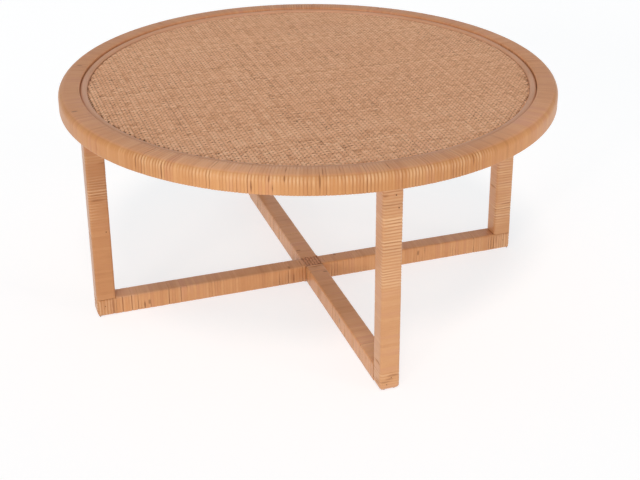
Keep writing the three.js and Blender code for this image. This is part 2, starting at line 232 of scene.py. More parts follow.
@dataclass
class Outline:
    """A closed section in a plane, run anticlockwise, with its outward normals.

    face is 1 where strips show and 0 on a hidden stretch, which stays plain.
    """

    points: Array
    normals: Array
    face: Array

    # Widest turn and longest step between two points of a rounded corner
    WIDEST_TURN = math.radians(12)
    LONGEST_STEP = 0.0017

    @property
    def arc(self) -> Array:
        """Metres along the outline at each point, and once round at the end."""
        steps = np.linalg.norm(np.roll(self.points, -1, 0) - self.points, axis=1)
        return np.concatenate([[0.0], np.cumsum(steps)])

    def sunk(self, depth: Array) -> Array:
        """The section's two coordinates at a depth below it, each rows by columns."""
        return np.moveaxis(self.points - self.normals * depth[..., None], -1, 0)

    @classmethod
    def rounded(cls, corners: Sequence[Triple], hidden: int = 0, spacing: float = 0.008) -> Outline:
        """Rounds the corners of a polygon.

        Formula: round each corner, the points are its arc's centre plus the radius times a normal
        that turns evenly from one side's to the next; the sides between are divided evenly.

        Args:
            corners: a, b and the corner's radius, anticlockwise.
            hidden: how many of the last corners lie on the hidden stretch.
            spacing: longest step on a side that shows.

        Returns:
            The outline.
        """
        at, radii = np.array(corners)[:, :2], np.array(corners)[:, 2]
        ahead = np.roll(at, -1, 0) - at
        ahead /= np.linalg.norm(ahead, axis=1)[:, None]
        behind = np.roll(ahead, 1, 0)
        left = behind[:, 0] * ahead[:, 1] - behind[:, 1] * ahead[:, 0]
        turn = np.arctan2(left, (behind * ahead).sum(1))
        reach = radii * np.tan(np.abs(turn) / 2)
        points, normals, face = [], [], []
        shown = len(corners) - hidden
        for n, radius in enumerate(radii):
            outward = np.array([behind[n, 1], -behind[n, 0]])
            steps = math.ceil(min(radius * abs(turn[n]) / cls.LONGEST_STEP, abs(turn[n]) / cls.WIDEST_TURN))
            swing = turn[n] * (np.linspace(0, 1, steps + 1) if steps else np.array([0.5]))
            c, s = np.cos(swing), np.sin(swing)
            turning = np.stack([c * outward[0] - s * outward[1], s * outward[0] + c * outward[1]], 1)
            bend = math.copysign(radius, turn[n])
            points.append(at[n] - behind[n] * reach[n] - bend * outward + bend * turning)
            normals.append(turning)
            face.append(np.full(len(swing), float(n < shown)))
            last, following = at[n] + ahead[n] * reach[n], (n + 1) % len(corners)
            side = at[following] - ahead[n] * reach[following] - last
            pieces = max(1, math.ceil(np.linalg.norm(side) / spacing)) if n < shown - (hidden > 0) else 1
            points.append(last + np.arange(1, pieces)[:, None] / pieces * side)
            normals.append(np.tile([ahead[n, 1], -ahead[n, 0]], (pieces - 1, 1)))
            face.append(np.ones(pieces - 1))
        return cls(np.concatenate(points), np.concatenate(normals), np.concatenate(face))

    @classmethod
    def bar(cls, width: float, height: float, radius: float) -> Outline:
        """The section of a squared bar with rounded corners, about the origin."""
        x, y = width / 2, height / 2
        return cls.rounded([(x, -y, radius), (x, y, radius), (-x, y, radius), (-x, -y, radius)])


@dataclass(frozen=True)
class Slit:
    """A gap between two strips, at a place on the axis and a place round the section, in metres."""

    place: float
    round: float
    reach: float
    strength: float = 1.0


@dataclass(frozen=True)
class PeelWinding:
    """Strips of rattan peel wound side by side round a section."""

    strip: float = 0.0056
    groove: float = 0.00078
    tightness: tuple[float, float] = (0.6, 0.35)
    uneven_seams: float = 0.7
    width_spread: float = 0.10
    wander: float = 0.00035
    lift: float = 0.00016
    open_share: float = 0.10
    open_depth: float = 0.0007
    open_reach: tuple[float, float] = (0.005, 0.022)
    least_open: float = 0.35
    thickness: float = 0.0017
    slits: tuple[Slit, ...] = ()
    calm: Field = lambda place, share: np.zeros_like(place)

    # Shares across a strip where its surface is worked out, which of them are its crown, and how
    # far an open gap pushes them in
    CROSS = np.array([0.0, 0.1, 0.3, 0.7, 0.9])
    CROWN = np.array([0.0, 0.0, 1.0, 1.0, 0.0])
    PUSH = np.array([0.0, 0.10, 0.07, -0.07, -0.10])

    # How hollow a gap and how proud a crown counts: painted shade in a gap, painted highlight on a crown
    GAP_HOLLOW = 0.9
    CROWN_PROUD = 0.66

    def lay(
        self, outline: Outline, start: float, end: float, scale: float, closed: bool, rng: Random
    ) -> tuple[Array, Array, Array, Array]:
        """Lays strips along an axis.

        Formula: the edges of the strips lie at the running sum of slightly uneven widths, plus a
        soft sway round the section. Between two edges the surface sinks by the groove's depth
        times the square of the distance from the strip's middle, and further where a gap is open.

        Args:
            outline: the section that the strips go round.
            start: where the first strip starts on the axis.
            end: where the last one ends.
            scale: axis units in a metre.
            closed: whether the end of the axis meets its start.
            rng: source of random numbers.

        Returns:
            Place on the axis, depth below the crest and hollow, each rows by columns, and the
            strip number plus share across for each row and once more at the end.
        """
        columns = len(outline.points)
        arc, whole = outline.arc[:-1], outline.arc[-1]
        hump = lambda middle, reach: np.clip(1 - (apart(arc, middle, whole) / reach) ** 2, 0, 1)
        count = max(2, round((end - start) / (self.strip * scale)))
        widths = 1 + self.width_spread * rng.uniform(-1, 1, count)
        edges = start + (end - start) * np.concatenate([[0.0], np.cumsum(widths)]) / widths.sum()
        sway = soft_field(rng, count, columns, count // 3, 3)
        patches = soft_field(rng, count, columns, max(2, count // 9), 4)
        sway, patches = np.vstack([sway, sway[:1]]), np.vstack([patches, patches[:1]])
        steps = np.arange(count + 1)
        held = np.ones(count + 1) if closed else np.clip(np.minimum(steps, count - steps) / 3, 0, 1)
        edges = edges[:, None] + self.wander * scale * sway * held[:, None]
        middle = rng.uniform(0, whole, count + 1)[:, None]
        reach = rng.uniform(*self.open_reach, count + 1)[:, None]
        chosen = rng.random(count + 1) < self.open_share
        chosen = chosen * rng.uniform(self.least_open, 1.0, count + 1) * held
        gaps = hump(middle, reach) * chosen[:, None]
        for slit in self.slits:
            seam = int(np.abs(edges[1:-1].mean(1) - slit.place).argmin()) + 1
            gaps[seam] = np.maximum(gaps[seam], slit.strength * hump(slit.round, slit.reach))
        if closed:
            gaps[-1] = gaps[0]
        tight = self.tightness[0] + self.tightness[1] * patches
        seams = self.uneven_seams * rng.uniform(-1, 1, (count + 1, 1)) ** 3
        tight = tight * np.maximum(1 + np.vstack([seams[:-1], seams[:1] if closed else seams[-1:]]), 0.1)
        tight = tight * (1 - self.calm(edges, arc / whole))
        sink = np.abs(2 * self.CROSS - 1) ** 2
        early = (self.CROSS < 0.5)[:, None]
        gap = np.where(early, gaps[:-1, None, :], gaps[1:, None, :])
        strength = np.where(early, tight[:-1, None, :], tight[1:, None, :])
        share = self.CROSS[:, None] + self.PUSH[:, None] * gap
        place = edges[:-1, None, :] * (1 - share) + edges[1:, None, :] * share
        lift = self.lift * rng.random(count)[:, None, None] * (1 - sink)[:, None]
        dip = sink[:, None]
        depth = self.groove * dip * strength + self.open_depth * dip * gap + lift
        hollow = dip * (strength + self.GAP_HOLLOW * gap) - self.CROWN_PROUD * strength * self.CROWN[:, None]
        place, depth, hollow = (grid.reshape(-1, columns) for grid in (place, depth, hollow))
        across = (np.arange(count)[:, None] + self.CROSS).ravel()
        if not closed:
            place = np.vstack([place, edges[-1:]])
            depth = np.vstack([depth, self.groove * tight[-1:]])
            hollow = np.vstack([hollow, tight[-1:]])
        return place, depth * outline.face, hollow * outline.face, np.append(across, float(count))

    def ring(self, outline: Outline, radius: float, rng: Random) -> Surface:
        """Winds strips round a section, given as height and radius, that is carried round Z.

        Args:
            outline: the whole section of the wrap, with its hidden inner side.
            radius: where the strip's width is measured.
            rng: source of random numbers.

        Returns:
            The closed ring.
        """
        angle, depth, hollow, across = self.lay(outline, 0.0, FULL_TURN, 1 / radius, True, rng)
        level, reach = outline.sunk(depth)
        points = np.stack([reach * np.cos(angle), reach * np.sin(angle), level], -1)
        return Surface.closed_grid(points, outline.arc, across, hollow)

    def sleeve(
        self,
        outline: Outline,
        start: float,
        end: float,
        place: Place,
        rng: Random,
        inset: Callable[[Array], Array] = np.zeros_like,
    ) -> Surface:
        """Winds strips round a straight bar, as a thin sleeve with an inner side.

        Args:
            outline: the bar's wrapped section.
            start: where the sleeve starts on the bar's axis.
            end: where it ends.
            place: takes the place on the axis and the two section coordinates to points.
            rng: source of random numbers.
            inset: how far the section draws in at a place on the axis.

        Returns:
            The closed sleeve.
        """
        along, depth, hollow, across = self.lay(outline, start, end, 1.0, False, rng)
        one_row = np.ones_like(along[:1])
        along = np.vstack([along, end * one_row, start * one_row])
        depth = np.vstack([depth, self.thickness * one_row, self.thickness * one_row])
        depth = depth + inset(along) * outline.face
        hollow = np.vstack([hollow, one_row, one_row])
        across = np.append(across, across[-1:].repeat(3))
        return Surface.closed_grid(place(along, *outline.sunk(depth)), outline.arc, across, hollow)


@dataclass(frozen=True)
class PlainWeave:
    """Flat strands that pass over and under each other, square to one another.

    cell is the size of one crossing along X and along Y. The pairs have a value for the strands
    that run along Y and one for those that run along X: abreast is how many share a crossing, fill
    is how much of its room a strand fills, and stops are the places in a crossing, in shares of it
    from its middle, where a strand's height is set, with the share of its rise and its painted
    shade there, which paints a highlight where it is below 0. gather draws the strands of a pair
    together. edge_shade is the painted shade of a strand's edges, and what the edge towards the
    other strand of its pair adds where the pair lies on top. loose_rarity sets how unevenly the
    loose places fall: the least for a strand, what the most adds, and a power.
    """

    cell: tuple[float, float] = (0.01164, 0.00476)
    abreast: tuple[int, int] = (2, 1)
    fill: tuple[float, float] = (0.88, 0.92)
    gather: float = 0.932
    stops: tuple[tuple[Triple, ...], tuple[Triple, ...]] = (
        ((-0.25, 1.0, 0.0), (0.25, 1.0, 0.0)),
        ((-0.25, 0.75, 1.0), (0.0, 1.0, -0.9), (0.25, 0.75, 1.0), (0.5, 0.0, 1.1)),
    )
    edge_shade: tuple[float, float] = (0.05, 0.85)
    thickness: float = 0.0008
    rise: float = 0.0008
    wander: float = 0.00030
    shake: float = 0.00020
    width_spread: float = 0.12
    strand_spread: tuple[float, float] = (0.06, 0.15)
    loose_share: float = 0.03
    loose_rarity: Triple = (0.3, 6.0, 8.0)
    loose_width: float = 0.45
    loose_shade: float = 1.2
    depth_shade: float = 0.4

    # Out and up from the strand's middle to its two edges, bottom and crown
    SECTION = ((-1.0, 0.1), (0.0, -1.0), (1.0, 0.1), (0.0, 0.8))

    # How far a corner's share across stays from the next strand's number
    MARGIN = 0.02

    def strands(
        self,
        half: float,
        level: Field,
        inside: Field,
        crosswise: bool,
        rng: Random,
        sunk: Field = lambda x, y: np.zeros_like(x),
        span: tuple[float, float] = (-1.0, 1.0),
    ) -> Surface:
        """Makes the strands of one direction.

        Formula: a strand keeps to the sheet's level plus the rise over one crossing and less the
        rise over the next, with a slope between. The sign changes from each crossing to the next
        in both directions, and the strands of the other direction have the other sign. Here and
        there a strand is loose, narrower and painted darker. The strands carry painted shade on
        their low stretches, edges and dives, and a painted highlight where a stop's shade is below 0.

        Args:
            half: half the sheet's width.
            level: the sheet's middle height at x and y.
            inside: whether x and y lie on the sheet.
            crosswise: whether the strands run along Y instead of X.
            rng: source of random numbers.
            sunk: how much painted shade the sheet gets at x and y, from 0 to 1.
            span: which strands to make, by the share of half their middles lie between.

        Returns:
            The strands, each with closed ends.
        """
        way = 0 if crosswise else 1
        wide_cell, long_cell = self.cell[way], self.cell[1 - way]
        abreast = self.abreast[way]
        room = wide_cell / abreast
        reach, far = math.ceil(half / wide_cell), math.ceil(half / long_cell)
        group, member = np.divmod(np.arange((2 * reach + 1) * abreast), abreast)
        group = group - reach
        centre = group * wide_cell + (member - (abreast - 1) / 2) * room * self.gather
        made = (centre > span[0] * half) & (centre <= span[1] * half)
        group, centre = group[made], centre[made]
        stops = np.array(self.stops[way])
        crossing = np.repeat(np.arange(-far, far + 1), len(stops))
        place, height, shade = np.tile(stops, (2 * far + 1, 1)).T
        run = (crossing + place) * long_cell
        count, stations = len(centre), len(run)
        sway = self.wander * soft_field(rng, count, stations, count // 3, 9)
        sway = sway + self.shake * rng.uniform(-1, 1, sway.shape)
        aside = centre[:, None] + sway
        forward = np.broadcast_to(run, aside.shape)
        x, y = (aside, forward) if crosswise else (forward, aside)
        sign = (1 - 2 * ((group[:, None] + crossing) % 2)) * (-1.0 if crosswise else 1.0) * height
        middle = level(x, y) + self.rise * sign
        wide = room * self.fill[way] / 2 * (1 + self.strand_spread[0] * rng.uniform(-1, 1, (count, 1)))
        wide = wide * (1 + self.width_spread * rng.uniform(-1, 1, sway.shape))
        least, more, rarity = self.loose_rarity
        slack = rng.random(sway.shape) < self.loose_share * (least + more * rng.random((count, 1)) ** rarity)
        wide = wide * np.where(slack, self.loose_width, 1.0)
        thick = self.thickness / 2 * (1 + self.strand_spread[1] * rng.uniform(-1, 1, (count, 1)))
        section = self.SECTION[::-1] if crosswise else self.SECTION
        ring = [(aside + wide * out, middle + thick * up) for out, up in section]
        ring = [np.stack([s, forward, z] if crosswise else [forward, s, z], -1) for s, z in ring]
        points = np.stack(ring, 2).reshape(-1, 3)
        shares = np.array([(1 + out) / 2 for out, _ in section])
        kept = inside(x, y)
        joined = np.pad(kept[:, :-1] & kept[:, 1:], ((0, 0), (1, 1)))
        kept = joined[:, :-1] | joined[:, 1:]
        index = np.arange(count * stations * 4).reshape(count, stations, 4)
        turn = np.roll(index, -1, 2)
        walls = np.stack([index[:, :-1], turn[:, :-1], turn[:, 1:], index[:, 1:]], -1)
        walls = walls[kept[:, :-1] & kept[:, 1:]].reshape(-1, 4)
        opens = index[:, 1:][~kept[:, :-1] & kept[:, 1:]][:, ::-1]
        closes = index[:, :-1][kept[:, :-1] & ~kept[:, 1:]]
        faces = np.concatenate([walls, opens, closes])
        strand, step, spot = np.unravel_index(faces, index.shape)
        number = strand + np.flatnonzero(made)[0]
        peel = np.stack([run[step], number + np.clip(shares[spot], self.MARGIN, 1 - self.MARGIN)], -1)
        used, compact = np.unique(faces, return_inverse=True)
        low = (0.5 - 0.5 * sign + shade + sunk(x, y))[..., None] + self.loose_shade * slack[..., None]
        inner = np.clip((abreast - 1 - 2 * member[made])[:, None, None] * (2 * shares - 1), 0, 1)
        edges = self.edge_shade[0] + self.edge_shade[1] * (sign > 0)[..., None] * inner
        hollow = (edges * np.abs(2 * shares - 1) + self.depth_shade * low).reshape(-1)
        return Surface(points[used], compact.reshape(faces.shape), peel, hollow[used])


# Finishes


class Wire:
    """A node's output in a material, which can be used in arithmetic."""

    def __init__(self, shades: Shades, socket: bpy.types.NodeSocket) -> None:
        """Keeps the socket and the material that it belongs to."""
        self.shades, self.socket = shades, socket

    def maths(self, operation: str, *others: Wire | float) -> Wire:
        """Adds a Math node with this and the others on its sockets."""
        return self.shades.node("ShaderNodeMath", {"operation": operation}, dict(enumerate((self, *others))))

    # The operators, each a Math node; those for sums and products serve both ways round
    __add__ = __radd__ = partialmethod(maths, "ADD")
    __mul__ = __rmul__ = partialmethod(maths, "MULTIPLY")
    __sub__ = partialmethod(maths, "SUBTRACT")
    __gt__ = partialmethod(maths, "GREATER_THAN")
    floor = partialmethod(maths, "FLOOR")
    fraction = partialmethod(maths, "FRACT")
    size = partialmethod(maths, "ABSOLUTE")

    def __rsub__(self, other: float) -> Wire:
        """A number less this."""
        return self.shades.node("ShaderNodeMath", {"operation": "SUBTRACT"}, {0: other, 1: self})

    def ease(self, low: float, high: float) -> Wire:
        """Rises smoothly from 0 to 1 between two values."""
        smooth = {"interpolation_type": "SMOOTHSTEP"}
        return self.shades.node("ShaderNodeMapRange", smooth, {0: self, 1: low, 2: high})


class Shades:
    """Builds the nodes of one material, or of the surroundings."""

    def __init__(self, owner: Material | bpy.types.World) -> None:
        """Empties the owner's nodes.

        Args:
            owner: the material or the world that gets the nodes.
        """
        owner.use_nodes = True
        self.owner = owner
        self.tree = owner.node_tree
        self.tree.nodes.clear()

    @classmethod
    def of(cls, name: str) -> Shades:
        """Starts a new material."""
        return cls(bpy.data.materials.new(name))

    def node(
        self, kind: str, settings: dict[str, Any], values: dict[int | str, Any], output: int | str = 0
    ) -> Wire:
        """Adds a node.

        Args:
            kind: the node's type.
            settings: its own settings, set first; "stops" fills a colour ramp.
            values: a value or a wire for each input, by number or name.
            output: which output to return.

        Returns:
            The output as a wire.
        """
        made = self.tree.nodes.new(kind)
        for key, value in settings.items():
            if key == "stops":
                elements = made.color_ramp.elements
                while len(elements) < len(value):
                    elements.new(1.0)
                for element, (position, colour) in zip(elements, value):
                    element.position = position
                    element.color = (*colour, 1.0)
            else:
                setattr(made, key, value)
        for key, value in values.items():
            if isinstance(value, Wire):
                self.tree.links.new(value.socket, made.inputs[key])
            else:
                made.inputs[key].default_value = value
        return Wire(self, made.outputs[output])

    def mix(self, share: Wire | float, first: Any, second: Any, blend: str = "MIX") -> Wire:
        """Mixes two colours, each a wire or red, green and blue.

        Args:
            share: how much of the second, from 0 to 1.
            first: the first colour.
            second: the second colour.
            blend: the way of mixing.

        Returns:
            The mixed colour.
        """
        colours = [c if isinstance(c, Wire) else (*c, 1.0) for c in (first, second)]
        settings = {"data_type": "RGBA", "blend_type": blend, "clamp_factor": True}
        return self.node("ShaderNodeMix", settings, {0: share, 6: colours[0], 7: colours[1]}, 2)

    def ramp(self, value: Wire, stops: Sequence[tuple[float, Triple]]) -> Wire:
        """Turns a value into a colour by stops."""
        return self.node("ShaderNodeValToRGB", {"stops": stops}, {0: value})

    def joined(self, x: Wire | float, y: Wire | float, z: Wire | float) -> Wire:
        """A vector from three numbers."""
        return self.node("ShaderNodeCombineXYZ", {}, {0: x, 1: y, 2: z})

    def parts(self, vector: Wire) -> list[Wire]:
        """The three numbers of a vector."""
        outputs = self.node("ShaderNodeSeparateXYZ", {}, {0: vector}).socket.node.outputs
        return [Wire(self, output) for output in outputs]

    def position(self) -> Wire:
        """The place on the object, in metres."""
        return self.node("ShaderNodeTexCoord", {}, {}, "Object")

    def noise(self, vector: Wire, scale: float, detail: float = 2.0, roughness: float = 0.5) -> Wire:
        """Soft noise from about 0.25 to 0.75."""
        values = {"Vector": vector, "Scale": scale, "Detail": detail, "Roughness": roughness}
        return self.node("ShaderNodeTexNoise", {}, values)

    def chance(self, *numbers: Wire | float) -> Wire:
        """An even random number from 0 to 1 for each set of three numbers."""
        settings, values = {"noise_dimensions": "3D"}, {"Vector": self.joined(*numbers)}
        return self.node("ShaderNodeTexWhiteNoise", settings, values)

    def finish(self, fixed: dict[str, Any], varied: dict[str, Wire], height: Wire, relief: float) -> Material:
        """Adds the shader.

        Args:
            fixed: the shader's values that are the same all over.
            varied: wires for its inputs that change over the surface.
            height: the bump's height from 0 to 1.
            relief: the bump's depth in metres.

        Returns:
            The finished material.
        """
        bump = self.node("ShaderNodeBump", {}, {"Strength": 1.0, "Distance": relief, "Height": height})
        shader = self.node("ShaderNodeBsdfPrincipled", {}, {**fixed, **varied, "Normal": bump})
        self.show("ShaderNodeOutputMaterial", shader)
        return self.owner

    def show(self, kind: str, shader: Wire) -> None:
        """Links a shader to an output node of this type."""
        out = self.tree.nodes.new(kind)
        self.tree.links.new(shader.socket, out.inputs["Surface"])


def linear(red: int, green: int, blue: int, light: float = 1.0) -> Triple:
    """A colour given in the usual screen values from 0 to 255, as linear light times a factor.

    Args:
        red, green, blue: the screen values.
        light: the factor.

    Returns:
        Red, green and blue in linear light.
    """
    shares = np.array([red, green, blue]) / 255
    bright = ((shares + 0.055) / 1.055) ** 2.4
    return tuple(float(light * v) for v in np.where(shares <= 0.04045, shares / 12.92, bright))


@dataclass(frozen=True)
class Tint:
    """Colours that tint the peel, inside a stretch of its way round the section and outside."""

    # On the tops of the ring and the rails, and on the crossing, the tint is a painted sheen
    inside: Triple
    outside: Triple = (1.0, 1.0, 1.0)
    first: float = -1.0
    last: float = 1.0


@dataclass(frozen=True)
class Worn:
    """Painted highlight: how much paler the crowns are, where the section bends and in the rest."""

    bent: float
    rest: float
    first: float = -1.0
    last: float = 1.0


@dataclass(frozen=True)
class PeelFinish:
    """Natural rattan peel with a satin skin, in strips that differ in tone.

    spread is how much the tone differs from strip to strip, along a strip and in patches.
    Along the ring, shares of turn_strips strips each get how light the peel is painted there,
    partly its own tone and partly painted light and shade. cell is the metres from one crossing
    of a weave to the next, where the tone changes by cell_spread.
    """

    name: str
    dark: Triple = linear(180, 118, 72)
    tan: Triple = linear(207, 146, 94)
    pale: Triple = linear(222, 168, 116)
    blush: Triple = linear(200, 134, 98)
    # The colour of the painted shade in the grooves, and of the dark joints of the cane
    seam: Triple = linear(104, 58, 30)
    spread: Triple = (0.25, 0.35, 0.7)
    hue_spread: float = 1.0
    cell: float = 0.0
    cell_spread: float = 0.38
    # How far the grooves are painted towards that colour as shade
    groove_shade_share: float = 0.7
    mark_share: float = 0.004
    roughness: float = 0.36
    specular: float = 0.3
    coat: float = 0.0
    seed: float = 0.0
    tint: Tint | None = None
    worn: Worn | None = None
    # The colour of the painted highlight on the crowns
    highlight_tone: Triple = linear(250, 214, 172)
    tone_and_light: tuple[tuple[float, float], ...] = ()
    turn_strips: float = 1.0

    # Where along the ramp of tones the dark, the tan and the pale lie
    TONES = (0.12, 0.48, 0.85)

    # How often the tone, the fibres, the patches and the dark joints change in a metre
    SLOW_SCALE = 14.0
    FIBRE_SCALE = 70.0
    PATCH_SCALE = 11.0
    JOINT_SCALE = 16.0

    # The depth of the fibres' relief
    RELIEF = 0.00016

    def material(self) -> Material:
        """Builds the finish.

        Each strip has a tone of its own. Along it run fine fibres, slow changes of tone and now
        and then a dark joint of the cane. Its edges get painted shade where they meet the next, and
        where it is set, its crown gets a painted highlight.

        Returns:
            The finished material.
        """
        shades = Shades.of(self.name)
        along, count, _ = shades.parts(shades.node("ShaderNodeUVMap", {"uv_map": PEEL_MAP}, {}))
        strip, across = count.floor(), count.fraction()
        tone = shades.chance(strip, self.seed, 0.5)
        hue = shades.chance(strip, self.seed, 7.5)
        slow = shades.noise(shades.joined(along * self.SLOW_SCALE, strip * 3.7, self.seed), 1.0)
        fibre = shades.joined(along * self.FIBRE_SCALE, count * 11.0, self.seed)
        fibre = shades.noise(fibre, 1.0, 3.0, 0.6)
        patch = shades.noise(shades.position(), self.PATCH_SCALE)
        odd = (tone - 0.5) * (tone - 0.5) * (tone - 0.5) * 4.0
        by_strip, along_strip, by_patch = self.spread
        value = 0.5 + by_strip * (0.4 * (tone - 0.5) + odd) + along_strip * (slow - 0.5)
        value = value + 0.45 * (fibre - 0.5) + by_patch * (patch - 0.5)
        if self.cell:
            crossing = (along * (1 / self.cell) + 0.5).floor()
            value = value + self.cell_spread * (shades.chance(strip, crossing, self.seed) - 0.5)
        colour = shades.ramp(value, [*zip(self.TONES, (self.dark, self.tan, self.pale))])
        colour = shades.mix(self.hue_spread * ((hue - 0.7) * 0.8 + (patch - 0.5) * 1.6), colour, self.blush)
        if self.tint:
            first, last = self.tint.first, self.tint.last
            inside = along.ease(first - 0.002, first + 0.002) * (1 - along.ease(last - 0.002, last + 0.002))
            tint = shades.mix(inside, self.tint.outside, self.tint.inside)
            colour = shades.mix(1.0, colour, tint, "MULTIPLY")
        # Painted light and shade round the ring, mixed with the peel's own tone
        if self.tone_and_light:
            stops = [(place, (light, light**1.3, light**1.6)) for place, light in self.tone_and_light]
            tint = shades.ramp(strip * (1 / self.turn_strips), stops)
            colour = shades.mix(1.0, colour, tint, "MULTIPLY")
        hollow = shades.node("ShaderNodeAttribute", {"attribute_name": HOLLOW}, {}, "Fac")
        # Painted highlight: crowns that stand out are painted paler, more where the section bends
        if self.worn:
            first, last = self.worn.first, self.worn.last
            bent = along.ease(first - 0.001, first + 0.002) * (1 - along.ease(last - 0.004, last + 0.012))
            proud = (0.0 - hollow).ease(0.0, 0.5)
            share = self.worn.rest + (self.worn.bent - self.worn.rest) * bent
            colour = shades.mix(share * proud * (0.7 + 0.6 * tone), colour, self.highlight_tone)
        # Painted shade in the grooves and open gaps, patchy
        depth = hollow.ease(0.35, 1.0) * (0.4 + 1.2 * patch)
        colour = shades.mix(depth * self.groove_shade_share, colour, self.seam)
        cell = along * self.JOINT_SCALE + strip * 0.37
        rare = shades.chance(cell.floor(), strip, self.seed) > 1 - self.mark_share
        mark = (1 - ((cell.fraction() - 0.5) * 9.0).size().ease(0.3, 1.0)) * rare
        mark = mark * (1 - ((across - 0.5) * 2.0).size().ease(0.55, 1.0))
        colour = shades.mix(mark * 0.5, colour, self.seam)
        roughness = self.roughness + 0.22 * (fibre - 0.5) + 0.25 * hollow
        fixed = {"Coat Weight": self.coat, "Coat Roughness": 0.24, "Specular IOR Level": self.specular}
        varied = {"Base Color": colour, "Roughness": roughness}
        return shades.finish(fixed, varied, fibre * 0.7 + slow * 0.3, self.RELIEF)


@dataclass(frozen=True)
class WoodFinish:
    """Bare wood with straight grain, painted dark above a level as shade."""

    name: str
    pale: Triple
    dark: Triple
    grain: Triple = (6.0, 90.0, 90.0)
    roughness: float = 0.62
    # Above this level the wood is painted dark by this share, as shade
    shade_above: float = 9.0
    painted_shade: Triple = linear(96, 50, 22)
    shade_share: float = 0.85
    relief: float = 0.00012

    def material(self) -> Material:
        """Builds the finish: stretched noise for the grain, with painted shade above a level.

        Returns:
            The finished material.
        """
        shades = Shades.of(self.name)
        x, y, z = shades.parts(shades.position())
        lay = shades.joined(x * self.grain[0], y * self.grain[1], z * self.grain[2])
        grain = shades.noise(lay, 1.0, 4.0, 0.65)
        pores = shades.noise(lay, 5.0)
        value = 0.5 + 1.6 * (grain - 0.5) + 0.4 * (pores - 0.5)
        colour = shades.ramp(value, [(0.2, self.dark), (0.8, self.pale)])
        # Painted shade above the level
        colour = shades.mix((z > self.shade_above) * self.shade_share, colour, self.painted_shade)
        varied = {"Base Color": colour, "Roughness": self.roughness + 0.2 * (grain - 0.5)}
        return shades.finish({"Specular IOR Level": 0.4}, varied, grain, self.relief)


@dataclass(frozen=True)
class PatchyFinish:
    """A small part's plain finish, with a second colour in fine patches.

    patches are how often they change in a metre and how fine their detail is, edge is the noise
    between which the second colour comes in, and roughness grows by rougher over the noise.
    """

    name: str
    colour: Triple
    second: Triple
    patches: tuple[float, float] = (900.0, 3.0)
    edge: tuple[float, float] = (0.35, 0.7)
    share: float = 0.6
    roughness: float = 0.32
    rougher: float = 0.3
    relief: float = 0.00004
    metallic: float = 0.9

    def material(self) -> Material:
        """Builds the finish: noise that mixes the colours and roughens them.

        Returns:
            The finished material.
        """
        shades = Shades.of(self.name)
        patch = shades.noise(shades.position(), *self.patches)
        colour = shades.mix(patch.ease(*self.edge) * self.share, self.colour, self.second)
        varied = {"Base Color": colour, "Roughness": self.roughness + self.rougher * patch}
        return shades.finish({"Metallic": self.metallic}, varied, patch, self.relief)


